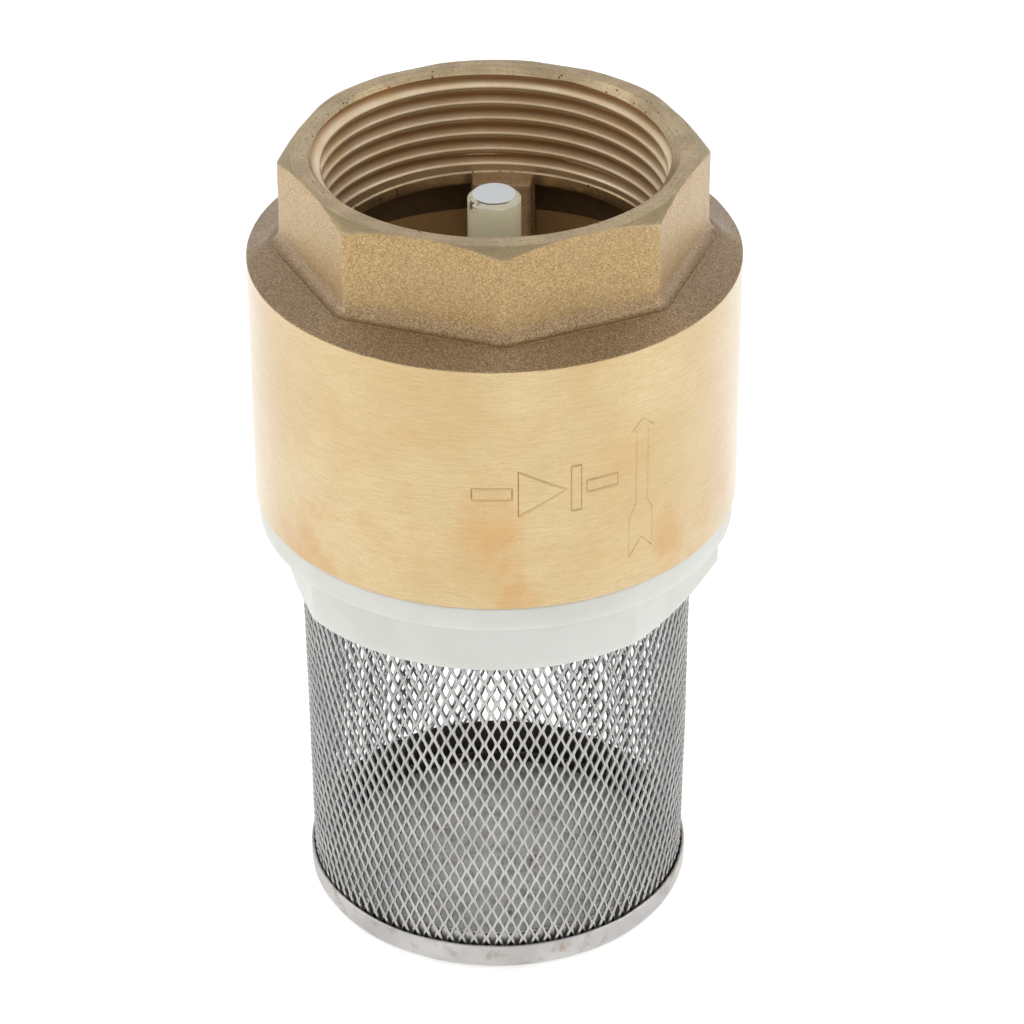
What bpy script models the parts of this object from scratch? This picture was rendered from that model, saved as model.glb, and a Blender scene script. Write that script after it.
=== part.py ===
"""Foot valve, G 1 1/2, with a strainer: a spring-loaded check valve for the lower end of a suction pipe.

Units are metres and +Z points up, towards the outlet. The origin is the centre of the strainer
cap's underside. The stem, the poppet's disc, its seal and the retainer slide on the Z axis.
"""

import math

import bmesh
import bpy
from mathutils import Matrix

MM = 0.001
GAP = 0.3 * MM                      # between pieces that touch on the real valve

# Overall
HEIGHT = 114.0 * MM
SEGMENTS = 36                       # facets round every turned piece
HEAD_TURN = math.radians(2.4)       # a corner of the head, from the X axis
COLLAR_TURN = math.radians(-8.0)    # a corner between two flats of the collar, from the X axis

# Brass body
BARREL_R = 32.5 * MM
BARREL_BOTTOM = 64.1 * MM
BARREL_TOP = 99.5 * MM
SHOULDER_R = 27.0 * MM              # where the cast shoulder meets the head
SHOULDER_TOP = 101.1 * MM
HEAD_CORNER_R = 28.2 * MM
HEAD_EDGE_RADIUS = 1.5 * MM
RIM_FLAT_R = 26.2 * MM              # outer edge of the flat end face
RIM_CHAMFER_DROP = 1.25 * MM        # at the head's corners

# Outlet thread, G 1 1/2: 11 threads an inch
THREAD_PITCH = 25.4 / 11 * MM
THREAD_MAJOR_R = 23.9 * MM
THREAD_MINOR_R = 22.42 * MM
THREAD_MOUTH_R = 24.1 * MM
THREAD_BOTTOM = 99.9 * MM
THREAD_GROOVE_MOUTH = 1.75 * MM     # axial width of the groove at the minor radius
THREAD_GROOVE_ROOT = 0.35 * MM
LAND_R = 22.2 * MM
LAND_TOP = 98.7 * MM
LAND_BOTTOM = 97.5 * MM

# Chamber round the poppet
CHAMBER_R = 28.6 * MM
CHAMBER_TOP = 90.5 * MM
CEILING_KNEE = (26.0 * MM, 96.0 * MM)

# Guide arms and hub, cast with the body
ARMS = 3
ARM_TURN = math.radians(87.0)
ARM_WIDTH = 8.1 * MM
RIB_INNER_R = 18.55 * MM
RIB_TOP = 98.6 * MM
ARM_TOP_OUTER = 90.5 * MM
ARM_TOP_INNER = 94.6 * MM
ARM_BOTTOM = 84.9 * MM
HUB_R = 6.8 * MM
HUB_BOTTOM = 84.6 * MM
HUB_TOP = 95.5 * MM
SPRING_POCKET_R = 10.0 * MM
SPRING_POCKET_TOP = 91.0 * MM

# Poppet: disc and stem in one
STEM_R = 3.45 * MM
STEM_FLAT_R = 2.65 * MM
STEM_TOP = 107.6 * MM
STEM_CLEARANCE = 0.25 * MM
DISC_R = 22.2 * MM
DISC_TOP = 77.3 * MM
DISC_THICKNESS = 3.0 * MM
CLIP_R = 4.0 * MM
CLIP_HEAD_R = 5.0 * MM

# Seal and its retainer
SEAL_R = 22.4 * MM
SEAL_THICKNESS = 2.0 * MM
RETAINER_R = 18.7 * MM
RETAINER_THICKNESS = 2.0 * MM

# Return spring
WIRE_R = 0.55 * MM
COIL_R = 8.4 * MM
COIL_TURNS = 5
END_TURN_RISE = 1.3 * MM
POINTS_PER_TURN = 12

# Nylon inlet collar
SEAT_BORE_R = 19.6 * MM
SEAT_OUTER_R = 21.3 * MM
SEAT_HEIGHT = 0.7 * MM
SPIGOT_R = 28.3 * MM
SPIGOT_TOP = 71.0 * MM
GROOVE_R = 26.4 * MM
GROOVE_TOP = 66.6 * MM
FLANGE_R = 32.1 * MM
FLANGE_BOTTOM = 60.5 * MM
FLANGE_EDGE = 0.5 * MM
FOOT_R = 30.5 * MM                  # round front and back; two flats each side meet it at corners
FOOT_BOTTOM = 52.1 * MM
FOOT_CHAMFER_DROP = 1.3 * MM
MESH_RECESS_R = 26.9 * MM
MESH_RECESS_TOP = 60.4 * MM

# O-ring between the collar and the body
O_RING_R = 27.5 * MM
O_RING_WIRE_R = 0.85 * MM
O_RING_Z = 65.2 * MM

# Strainer
MESH_TOP = 60.0 * MM
MESH_BOTTOM = 2.3 * MM
MESH_TOP_R = 26.65 * MM
MESH_BOTTOM_R = 26.0 * MM
MESH_THICKNESS = 0.5 * MM
LATTICE_BOTTOM = 4.0 * MM
LATTICE_TOP = 55.0 * MM
LATTICE_COLUMNS = 18
LATTICE_HALF_ROWS = 6
STRAND_HALF_WIDTH = 0.6 * MM
CAP_R = 26.65 * MM
CAP_WALL = 0.45 * MM
CAP_RIM_TOP = 4.6 * MM
CAP_EDGE_RADIUS = 2.5 * MM

SEAT_Z = SPIGOT_TOP + SEAT_HEIGHT
COLLAR_TOP_FACE = BARREL_BOTTOM - GAP


def clear_scene():
    """Remove every object that the file holds."""
    for item in list(bpy.data.objects):
        bpy.data.objects.remove(item, do_unlink=True)


def new_collection(name):
    collection = bpy.data.collections.new(name)
    bpy.context.scene.collection.children.link(collection)
    return collection


def material(name, colour, roughness, metallic=0.0):
    made = bpy.data.materials.new(name)
    made.use_nodes = True
    shader = made.node_tree.nodes["Principled BSDF"]
    shader.inputs["Base Color"].default_value = (*colour, 1.0)
    shader.inputs["Roughness"].default_value = roughness
    shader.inputs["Metallic"].default_value = metallic
    return made


def new_object(name, mesh, collection, finish=None):
    """Link a mesh as an object; one without a finish is a cutter or a shape to join."""
    made = bpy.data.objects.new(name, mesh)
    collection.objects.link(made)
    if finish:
        mesh.materials.append(finish)
    else:
        made.hide_render = True
        made.display_type = "WIRE"
    return made


def soften(item, angle=math.radians(35.0)):
    item.data.shade_smooth()
    item.data.set_sharp_from_angle(angle=angle)


def turned(name, profile, collection, finish=None, closed=False):
    """Turn a profile of (radius, height) points about Z.

    The points run down the outer side. An open profile starts and ends on the axis; a closed
    one goes back up its inner side.
    """
    mesh = bpy.data.meshes.new(name)
    edges = [(i, i + 1) for i in range(len(profile) - 1)]
    if closed:
        edges.append((len(profile) - 1, 0))
    mesh.from_pydata([(r, 0.0, z) for r, z in profile], edges, [])
    made = new_object(name, mesh, collection, finish)
    screw = made.modifiers.new("turn", "SCREW")
    screw.axis = "Z"
    screw.angle = math.tau
    screw.steps = SEGMENTS
    screw.render_steps = SEGMENTS
    screw.use_merge_vertices = True
    screw.merge_threshold = 0.00001
    screw.use_smooth_shade = True
    return made


def octagon(name, corner_r, bottom, top, turn, collection, edge_radius=0.0):
    """An eight-sided prism with its upright edges rounded."""
    mesh = bpy.data.meshes.new(name)
    bm = bmesh.new()
    bmesh.ops.create_cone(
        bm, cap_ends=True, segments=8, radius1=corner_r, radius2=corner_r, depth=top - bottom)
    if edge_radius:
        upright = [e for e in bm.edges if abs(e.verts[0].co.z - e.verts[1].co.z) > GAP]
        bmesh.ops.bevel(
            bm, geom=upright, offset=edge_radius * math.tan(math.radians(22.5)),
            segments=2, profile=0.5, affect="EDGES")
    bm.transform(Matrix.Rotation(turn, 4, "Z"))
    bm.to_mesh(mesh)
    bm.free()
    made = new_object(name, mesh, collection)
    made.location.z = (top + bottom) / 2
    return made


def wrench_foot(name, radius, bottom, top, turn, collection):
    """A prism that is round at the front and back, with two flats on each side."""
    degrees = [0.0]
    for start in (45.0, 225.0):
        degrees += [start + 10.0 * i for i in range(10)] + [start + 135.0]
    mesh = bpy.data.meshes.new(name)
    bm = bmesh.new()
    spots = [math.radians(d) + turn for d in degrees[:-1]]
    face = bm.faces.new(
        [bm.verts.new((radius * math.cos(a), radius * math.sin(a), bottom)) for a in spots])
    made = bmesh.ops.extrude_face_region(bm, geom=[face])
    lifted = [v for v in made["geom"] if isinstance(v, bmesh.types.BMVert)]
    bmesh.ops.translate(bm, verts=lifted, vec=(0.0, 0.0, top - bottom))
    bmesh.ops.recalc_face_normals(bm, faces=bm.faces)
    bm.to_mesh(mesh)
    bm.free()
    return new_object(name, mesh, collection)


def combine(item, other, operation):
    """Boolean with the exact solver: UNION, DIFFERENCE or INTERSECT."""
    step = item.modifiers.new(operation.lower() + "_" + other.name, "BOOLEAN")
    step.operation = operation
    step.object = other
    step.solver = "EXACT"


def arc(centre, radius, start, end, steps):
    """Points (radius, height) along a round of a profile, angles in degrees."""
    points = []
    for i in range(steps + 1):
        a = math.radians(start + (end - start) * i / steps)
        points.append((centre[0] + radius * math.cos(a), centre[1] + radius * math.sin(a)))
    return points


def as_mesh(curve_object, collection, finish=None):
    """Replace a curve object by a mesh object with welded caps."""
    bpy.context.view_layer.update()
    ready = curve_object.evaluated_get(bpy.context.evaluated_depsgraph_get())
    mesh = bpy.data.meshes.new_from_object(ready)
    bm = bmesh.new()
    bm.from_mesh(mesh)
    bmesh.ops.remove_doubles(bm, verts=bm.verts, dist=0.000001)
    bmesh.ops.recalc_face_normals(bm, faces=bm.faces)
    bm.to_mesh(mesh)
    bm.free()
    name = curve_object.name
    place = curve_object.matrix_world.copy()
    bpy.data.objects.remove(curve_object, do_unlink=True)
    made = new_object(name, mesh, collection, finish)
    made.matrix_world = place
    return made


def thread_cutter(collection):
    """The groove of the outlet thread: a tapered section wound down from above the end face."""
    inner_r = LAND_R - 0.2 * MM
    flank = (THREAD_GROOVE_MOUTH - THREAD_GROOVE_ROOT) / 2
    widen = flank * (THREAD_MINOR_R - inner_r) / (THREAD_MAJOR_R - THREAD_MINOR_R)
    half_mouth = THREAD_GROOVE_MOUTH / 2 + widen
    half_root = THREAD_GROOVE_ROOT / 2
    top = HEIGHT + THREAD_GROOVE_MOUTH
    turns = (top - THREAD_BOTTOM) / THREAD_PITCH
    section = [
        (inner_r, 0.0, half_mouth), (THREAD_MAJOR_R, 0.0, half_root),
        (THREAD_MAJOR_R, 0.0, -half_root), (inner_r, 0.0, -half_mouth)]
    mesh = bpy.data.meshes.new("thread_cutter")
    bm = bmesh.new()
    corners = [bm.verts.new(p) for p in section]
    loop = [bm.edges.new((corners[i], corners[(i + 1) % 4])) for i in range(4)]
    steps = round(turns * SEGMENTS)
    bmesh.ops.spin(
        bm, geom=corners + loop, cent=(0, 0, 0), axis=(0, 0, 1), angle=-turns * math.tau,
        dvec=(0, 0, -turns * THREAD_PITCH / steps), steps=steps)
    bmesh.ops.holes_fill(bm, edges=bm.edges, sides=4)
    bmesh.ops.recalc_face_normals(bm, faces=bm.faces)
    bm.to_mesh(mesh)
    bm.free()
    made = new_object("thread_cutter", mesh, collection)
    made.location.z = top
    return made


def guide_arm(index, collection):
    """One arm: a rib down the wall of the outlet, then a web in to the hub over the spring."""
    outline = [
        (5.0 * MM, SPRING_POCKET_TOP), (SPRING_POCKET_R, SPRING_POCKET_TOP),
        (SPRING_POCKET_R, ARM_BOTTOM), (CHAMBER_R + 0.9 * MM, ARM_BOTTOM),
        (CHAMBER_R + 0.9 * MM, CHAMBER_TOP + 3.5 * MM), (CEILING_KNEE[0], RIB_TOP),
        (RIB_INNER_R, RIB_TOP), (RIB_INNER_R, ARM_TOP_OUTER),
        (SPRING_POCKET_R - 2.0 * MM, ARM_TOP_INNER), (5.0 * MM, ARM_TOP_INNER)]
    curve = bpy.data.curves.new("guide_arm_%d" % index, "CURVE")
    curve.dimensions = "2D"
    curve.fill_mode = "BOTH"
    curve.extrude = ARM_WIDTH / 2
    spline = curve.splines.new("POLY")
    spline.points.add(len(outline) - 1)
    for point, (r, z) in zip(spline.points, outline):
        point.co = (r, z, 0.0, 1.0)
    spline.use_cyclic_u = True
    made = bpy.data.objects.new(curve.name, curve)
    collection.objects.link(made)
    turn = Matrix.Rotation(ARM_TURN + index * math.tau / ARMS, 4, "Z")
    made.matrix_world = turn @ Matrix.Rotation(math.radians(90.0), 4, "X")
    return as_mesh(made, collection)


def valve_body(collection, cutters, finish):
    """Brass casting: barrel, shoulder, octagon head, threaded outlet, chamber, arms and hub."""
    edge = 0.4 * MM
    body = turned("valve_body", [
        (0.0, SHOULDER_TOP), (SHOULDER_R, SHOULDER_TOP), (BARREL_R, BARREL_TOP),
        (BARREL_R, BARREL_BOTTOM + edge), (BARREL_R - edge, BARREL_BOTTOM),
        (0.0, BARREL_BOTTOM)], collection, finish)

    head = octagon("head", HEAD_CORNER_R, BARREL_TOP - 4.0 * MM, HEIGHT, HEAD_TURN, cutters,
                   HEAD_EDGE_RADIUS)
    slope = RIM_CHAMFER_DROP / (HEAD_CORNER_R - RIM_FLAT_R)
    reach = 4.0 * MM
    rim_cutter = turned("rim_cutter", [
        (RIM_FLAT_R - reach, HEIGHT + slope * reach),
        (RIM_FLAT_R + 2 * reach, HEIGHT + slope * reach),
        (RIM_FLAT_R + 2 * reach, HEIGHT - slope * 2 * reach)], cutters, closed=True)
    combine(head, rim_cutter, "DIFFERENCE")
    combine(body, head, "UNION")

    mouth = THREAD_MOUTH_R - THREAD_MINOR_R
    bore = turned("bore_cutter", [
        (0.0, HEIGHT + mouth), (THREAD_MOUTH_R + mouth, HEIGHT + mouth),
        (THREAD_MINOR_R, HEIGHT - mouth), (THREAD_MINOR_R, LAND_TOP), (LAND_R, LAND_TOP),
        (LAND_R, LAND_BOTTOM), CEILING_KNEE, (CHAMBER_R - GAP, CHAMBER_TOP + 2.0 * MM),
        (CHAMBER_R - GAP, CHAMBER_TOP), (CHAMBER_R, CHAMBER_TOP),
        (CHAMBER_R, BARREL_BOTTOM - 2.0 * MM), (0.0, BARREL_BOTTOM - 2.0 * MM)], cutters)
    combine(body, bore, "DIFFERENCE")
    combine(body, thread_cutter(cutters), "DIFFERENCE")

    spider = turned("hub", [
        (HUB_R - edge, HUB_TOP), (HUB_R, HUB_TOP - edge), (HUB_R, HUB_BOTTOM),
        (STEM_R + STEM_CLEARANCE, HUB_BOTTOM), (STEM_R + STEM_CLEARANCE, HUB_TOP)],
        cutters, closed=True)
    for index in range(ARMS):
        combine(spider, guide_arm(index, cutters), "UNION")
    combine(body, spider, "UNION")
    return body


def inlet_collar(collection, cutters, finish):
    """Nylon collar: seat and threaded spigot above, flange, and a foot with flats for a wrench."""
    collar = turned("inlet_collar", [
        (0.0, SEAT_Z), (SEAT_OUTER_R - GAP, SEAT_Z), (SEAT_OUTER_R + GAP, SPIGOT_TOP),
        (SPIGOT_R - FLANGE_EDGE, SPIGOT_TOP), (SPIGOT_R, SPIGOT_TOP - FLANGE_EDGE),
        (SPIGOT_R, GROOVE_TOP), (GROOVE_R, GROOVE_TOP), (GROOVE_R, COLLAR_TOP_FACE),
        (FLANGE_R - FLANGE_EDGE, COLLAR_TOP_FACE), (FLANGE_R, COLLAR_TOP_FACE - FLANGE_EDGE),
        (FLANGE_R, FLANGE_BOTTOM + FLANGE_EDGE), (FLANGE_R - FLANGE_EDGE, FLANGE_BOTTOM),
        (0.0, FLANGE_BOTTOM)], collection, finish)

    foot = wrench_foot("collar_foot", FOOT_R, FOOT_BOTTOM, FLANGE_BOTTOM + MM, COLLAR_TURN, cutters)
    flat_r = FOOT_R * math.cos(math.radians(22.5))
    slope = FOOT_CHAMFER_DROP / (FOOT_R - flat_r)
    reach = 2.0 * MM
    chamfer = turned("collar_chamfer_cutter", [
        (flat_r + 2 * reach, FOOT_BOTTOM + slope * 2 * reach),
        (flat_r + 2 * reach, FOOT_BOTTOM - slope * reach),
        (flat_r - reach, FOOT_BOTTOM - slope * reach)], cutters, closed=True)
    combine(foot, chamfer, "DIFFERENCE")
    combine(collar, foot, "UNION")

    bore = turned("collar_bore_cutter", [
        (0.0, SEAT_Z + MM), (SEAT_BORE_R, SEAT_Z + MM), (SEAT_BORE_R, MESH_RECESS_TOP),
        (MESH_RECESS_R, MESH_RECESS_TOP), (MESH_RECESS_R, FOOT_BOTTOM - MM),
        (0.0, FOOT_BOTTOM - MM)], cutters)
    combine(collar, bore, "DIFFERENCE")
    return collar


def poppet(collection, finish):
    """Disc and stem in one, with a groove for the spring and a clip for the retainer."""
    groove_inner = COIL_R - WIRE_R - 0.45 * MM
    groove_outer = COIL_R + WIRE_R + 0.45 * MM
    groove_z = DISC_TOP - MM
    underside = DISC_TOP - DISC_THICKNESS
    edge = 0.3 * MM
    clip_z = SEAT_Z - RETAINER_THICKNESS - GAP
    return turned("poppet", [
        (0.0, STEM_TOP), (STEM_FLAT_R, STEM_TOP), (STEM_R, STEM_TOP - MM),
        (STEM_R, DISC_TOP), (groove_inner, DISC_TOP), (groove_inner, groove_z),
        (groove_outer, groove_z), (groove_outer, DISC_TOP), (DISC_R - edge, DISC_TOP),
        (DISC_R, DISC_TOP - edge), (DISC_R, underside + edge), (DISC_R - edge, underside),
        (CLIP_R, underside), (CLIP_R, clip_z), (CLIP_HEAD_R, clip_z),
        (CLIP_HEAD_R, clip_z - edge), (CLIP_R, clip_z - MM), (0.0, clip_z - MM)],
        collection, finish)


def ring(name, inner_r, outer_r, bottom, top, edge, collection, finish):
    """A flat ring with its outer edges broken."""
    return turned(name, [
        (outer_r - edge, top), (outer_r, top - edge), (outer_r, bottom + edge),
        (outer_r - edge, bottom), (inner_r, bottom), (inner_r, top)],
        collection, finish, closed=True)


def return_spring(collection, finish):
    """A coil spring whose end turns lie nearly flat."""
    bottom = DISC_TOP - MM + GAP + WIRE_R
    top = SPRING_POCKET_TOP - GAP - WIRE_R
    pitch = (top - bottom - 2 * END_TURN_RISE) / (COIL_TURNS - 2)
    curve = bpy.data.curves.new("return_spring", "CURVE")
    curve.dimensions = "3D"
    curve.bevel_depth = WIRE_R
    curve.bevel_resolution = 2
    curve.use_fill_caps = True
    spline = curve.splines.new("POLY")
    count = COIL_TURNS * POINTS_PER_TURN
    spline.points.add(count)
    for i in range(count + 1):
        turn = i / POINTS_PER_TURN
        middle = min(max(turn - 1.0, 0.0), COIL_TURNS - 2.0)
        ends = turn - middle
        height = bottom + ends * END_TURN_RISE + middle * pitch
        a = math.tau * turn
        spline.points[i].co = (COIL_R * math.cos(a), COIL_R * math.sin(a), height, 1.0)
    made = bpy.data.objects.new("return_spring", curve)
    collection.objects.link(made)
    spring = as_mesh(made, collection, finish)
    soften(spring, math.radians(60.0))
    return spring


def o_ring(collection, finish):
    profile = arc((O_RING_R, O_RING_Z), O_RING_WIRE_R, 90.0, -210.0, 5)
    return turned("collar_o_ring", profile, collection, finish, closed=True)


def mesh_radius(height):
    share = (height - MESH_BOTTOM) / (MESH_TOP - MESH_BOTTOM)
    return MESH_BOTTOM_R + (MESH_TOP_R - MESH_BOTTOM_R) * share


def strainer_mesh(collection, finish):
    """Expanded-metal sleeve: a diamond lattice between two plain bands, as one open sheet."""
    mesh = bpy.data.meshes.new("strainer_mesh")
    bm = bmesh.new()
    steps = 2 * LATTICE_COLUMNS
    rise = (LATTICE_TOP - LATTICE_BOTTOM) / LATTICE_HALF_ROWS

    def corner(column, height):
        a = math.tau * column / steps
        r = mesh_radius(height)
        return bm.verts.new((r * math.cos(a), r * math.sin(a), height))

    knots = {}
    for row in range(LATTICE_HALF_ROWS + 1):
        for column in range(row % 2, steps, 2):
            knots[column, row] = corner(column, LATTICE_BOTTOM + row * rise)
    foot = {column: corner(column, MESH_BOTTOM) for column in range(0, steps, 2)}
    crown = {column: corner(column, MESH_TOP) for column in range(0, steps, 2)}

    cells = []
    for row in range(LATTICE_HALF_ROWS + 1):
        for column in range((row + 1) % 2, steps, 2):
            left = knots[(column - 1) % steps, row]
            right = knots[(column + 1) % steps, row]
            below = knots.get((column, row - 1))
            above = knots.get((column, row + 1))
            cells.append(bm.faces.new([v for v in (left, below, right, above) if v]))
    for column in range(0, steps, 2):
        after = (column + 2) % steps
        bm.faces.new((foot[column], foot[after], knots[after, 0], knots[column, 0]))
        last = LATTICE_HALF_ROWS
        bm.faces.new((knots[column, last], knots[after, last], crown[after], crown[column]))

    bm.normal_update()
    bmesh.ops.inset_individual(
        bm, faces=cells, thickness=STRAND_HALF_WIDTH, use_even_offset=True)
    bmesh.ops.delete(bm, geom=cells, context="FACES")
    bm.to_mesh(mesh)
    bm.free()
    made = new_object("strainer_mesh", mesh, collection, finish)
    sheet = made.modifiers.new("sheet", "SOLIDIFY")
    sheet.thickness = MESH_THICKNESS
    sheet.offset = -1.0
    return made


def strainer_cap(collection, finish):
    """Pressed pan under the sleeve."""
    edge_centre = (CAP_R - CAP_EDGE_RADIUS, CAP_EDGE_RADIUS)
    inside = arc(edge_centre, CAP_EDGE_RADIUS - CAP_WALL, -90.0, 0.0, 2)
    outside = arc(edge_centre, CAP_EDGE_RADIUS, 0.0, -90.0, 3)
    rim = [(CAP_R - CAP_WALL, CAP_RIM_TOP), (CAP_R, CAP_RIM_TOP)]
    profile = [(0.0, CAP_WALL)] + inside + rim + outside + [(0.0, 0.0)]
    return turned("strainer_cap", profile, collection, finish)


def main():
    clear_scene()
    valve = new_collection("foot_valve")
    cutters = new_collection("foot_valve_cutters")
    brass = material("brass", (0.72, 0.53, 0.27), 0.32, 1.0)
    nylon = material("white_nylon", (0.86, 0.88, 0.84), 0.45)
    stem_nylon = material("natural_nylon", (0.80, 0.82, 0.76), 0.4)
    rubber = material("black_rubber", (0.03, 0.03, 0.03), 0.7)
    spring_steel = material("spring_steel", (0.62, 0.62, 0.60), 0.25, 1.0)
    mesh_steel = material("mesh_steel", (0.55, 0.54, 0.52), 0.35, 1.0)
    cap_steel = material("cap_steel", (0.66, 0.64, 0.61), 0.4, 1.0)

    valve_body(valve, cutters, brass)
    inlet_collar(valve, cutters, nylon)
    o_ring(valve, rubber)
    return_spring(valve, spring_steel)
    strainer_mesh(valve, mesh_steel)
    strainer_cap(valve, cap_steel)

    slide = bpy.data.objects.new("poppet_slide", None)
    slide.empty_display_type = "SINGLE_ARROW"
    slide.empty_display_size = 10.0 * MM
    valve.objects.link(slide)
    moving = [
        poppet(valve, stem_nylon),
        ring("poppet_seal", CLIP_R + GAP, SEAL_R, SEAT_Z + GAP,
             SEAT_Z + GAP + SEAL_THICKNESS, 0.2 * MM, valve, rubber),
        ring("seal_retainer", CLIP_R + GAP, RETAINER_R, SEAT_Z - RETAINER_THICKNESS,
             SEAT_Z, 0.5 * MM, valve, stem_nylon)]
    for piece in moving:
        piece.parent = slide


main()
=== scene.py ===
"""Looks of the foot valve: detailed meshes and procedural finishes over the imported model, and a studio.

Lengths are written in millimetres times MM; the scene is in metres, +Z up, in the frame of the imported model.
"""

import math

import bmesh
import bpy
import numpy as np
from mathutils import Matrix, Vector, noise

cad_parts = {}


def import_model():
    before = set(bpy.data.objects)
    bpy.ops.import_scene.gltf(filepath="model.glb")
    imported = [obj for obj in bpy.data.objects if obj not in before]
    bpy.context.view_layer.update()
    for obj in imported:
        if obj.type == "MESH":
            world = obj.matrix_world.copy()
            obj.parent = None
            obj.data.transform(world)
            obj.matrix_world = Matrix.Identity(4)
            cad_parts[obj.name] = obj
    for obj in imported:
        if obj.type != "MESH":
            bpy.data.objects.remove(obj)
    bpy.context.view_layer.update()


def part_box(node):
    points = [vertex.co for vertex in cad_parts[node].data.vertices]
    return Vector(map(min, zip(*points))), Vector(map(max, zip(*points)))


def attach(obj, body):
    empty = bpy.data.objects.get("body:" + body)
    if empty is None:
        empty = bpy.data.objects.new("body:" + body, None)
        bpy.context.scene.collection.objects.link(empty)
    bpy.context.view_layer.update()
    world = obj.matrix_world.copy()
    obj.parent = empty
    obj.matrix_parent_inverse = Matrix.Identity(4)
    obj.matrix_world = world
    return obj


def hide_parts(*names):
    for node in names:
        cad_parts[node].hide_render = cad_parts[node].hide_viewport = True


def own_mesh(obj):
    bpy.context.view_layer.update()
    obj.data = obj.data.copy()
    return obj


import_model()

MM = 0.001
BODY_LOW, BODY_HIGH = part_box("valve_body")
COLLAR_LOW, COLLAR_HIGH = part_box("inlet_collar")
SLEEVE_LOW, SLEEVE_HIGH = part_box("strainer_mesh")
CAP_LOW, CAP_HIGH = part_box("strainer_cap")
POPPET_LOW, POPPET_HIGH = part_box("poppet")
SEAL_LOW, SEAL_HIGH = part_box("poppet_seal")
RETAINER_LOW, RETAINER_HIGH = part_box("seal_retainer")
SPRING_LOW, SPRING_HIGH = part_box("return_spring")
O_RING_LOW, O_RING_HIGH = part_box("collar_o_ring")

# Brass body, outside
TOP = BODY_HIGH.z
BARREL_R = BODY_HIGH.x
BARREL_BOTTOM = BODY_LOW.z
BARREL_TOP = TOP - 14.5 * MM
HEAD_TURN = math.radians(2.4)
HEAD_APOTHEM = 26.05 * MM
HEAD_EDGE_R = 1.5 * MM
RIM_FLAT_R = 26.2 * MM
RIM_SLOPE = 0.625
FILLET_WIDTH = 1.15 * MM
FILLET_HEIGHT = 2.0 * MM
SHOULDER_TOP = TOP - 12.75 * MM

# Brass body, inside
PITCH = 25.4 / 11 * MM
THREAD_MINOR_R = 22.42 * MM
THREAD_MAJOR_R = 23.9 * MM
MOUTH_R = 24.1 * MM
LAND_R = 22.2 * MM
LAND_TOP = TOP - 14.8 * MM
LAND_BOTTOM = TOP - 16.3 * MM
CHAMBER_R = 28.6 * MM
CHAMBER_TOP = TOP - 23.5 * MM
ARM_TURN = math.radians(87.0)
ARM_HALF_WIDTH = 4.03 * MM
HUB_R = 6.8 * MM
HUB_TOP = TOP - 18.5 * MM
HUB_BOTTOM = TOP - 29.4 * MM
RIB_TOP = TOP - 15.5 * MM
RIB_BOTTOM = TOP - 29.1 * MM
PLATE_TOP = TOP - 14.9 * MM
PLATE_BOTTOM = TOP - 16.1 * MM

# Slots of the body's materials, and rows of the thread in one pitch
TURNED, CAST, MACHINED, INSIDE, THREAD = 0, 1, 2, 3, 4
THREAD_STEPS = 14

# Poppet and collar
STEM_R = 3.5 * MM
STEM_PLAY = 0.25 * MM
COLLAR_TURN = math.radians(-8.0)
FOOT_CORNER_R = 30.5 * MM
FOOT_SLOPE = 1.3 / 2.32

# Strainer
COLUMNS = 96
HALF_ROW = 1.65 * MM
HALF_HOLE_WIDTH = 0.57 * MM
HALF_HOLE_HEIGHT = 1.44 * MM
SLEEVE_THICKNESS = 0.34 * MM
CAP_WALL = 0.45 * MM
CAP_BEND_R = 2.5 * MM
UPSTAND_R = CAP_HIGH.x - 1.55 * MM


# -------- meshes

def link(name, data):
    made = bpy.data.objects.new(name, data)
    bpy.context.scene.collection.objects.link(made)
    return made


def cleaned(mesh, merge):
    """Merge doubled points and turn the faces outwards."""
    bm = bmesh.new()
    bm.from_mesh(mesh)
    bmesh.ops.remove_doubles(bm, verts=bm.verts, dist=merge)
    bmesh.ops.recalc_face_normals(bm, faces=bm.faces)
    bm.to_mesh(mesh)
    bm.free()
    return mesh


def mesh_from(name, points, faces, slots=None):
    mesh = bpy.data.meshes.new(name)
    mesh.from_pydata([tuple(p) for p in points], [], faces)
    if slots is not None:
        mesh.polygons.foreach_set("material_index", slots)
    return cleaned(mesh, 0.002 * MM)


def smooth(item, angle=32.0):
    item.data.shade_smooth()
    item.data.set_sharp_from_angle(angle=math.radians(angle))
    return item


def finished(item, body, slot, *replaced):
    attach(item, body)
    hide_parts(*replaced)
    return item


def row_at(angles, radius, height):
    """Points round Z at each angle; radius and height are numbers or arrays."""
    count = len(angles)
    radius = np.broadcast_to(radius, count)
    height = np.broadcast_to(height, count)
    return np.stack([radius * np.cos(angles), radius * np.sin(angles), height], axis=1)


def skin_faces(row_count, columns, closed=False):
    """Quads between rows of points that each run once round Z."""
    faces = []
    for row in range(row_count if closed else row_count - 1):
        low = row * columns
        high = (row + 1) % row_count * columns
        for column in range(columns):
            after = (column + 1) % columns
            faces.append((low + column, low + after, high + after, high + column))
    return faces


def turned(name, profile, finish, columns=128, closed=False):
    """Turn (radius, height) points about Z; an open profile starts and ends on the axis."""
    angles = np.linspace(0.0, math.tau, columns, endpoint=False)
    rows = [row_at(angles, r, z) for r, z in profile]
    mesh = mesh_from(name, np.concatenate(rows), skin_faces(len(rows), columns, closed=closed))
    mesh.materials.append(finish)
    return smooth(link(name, mesh))


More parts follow.
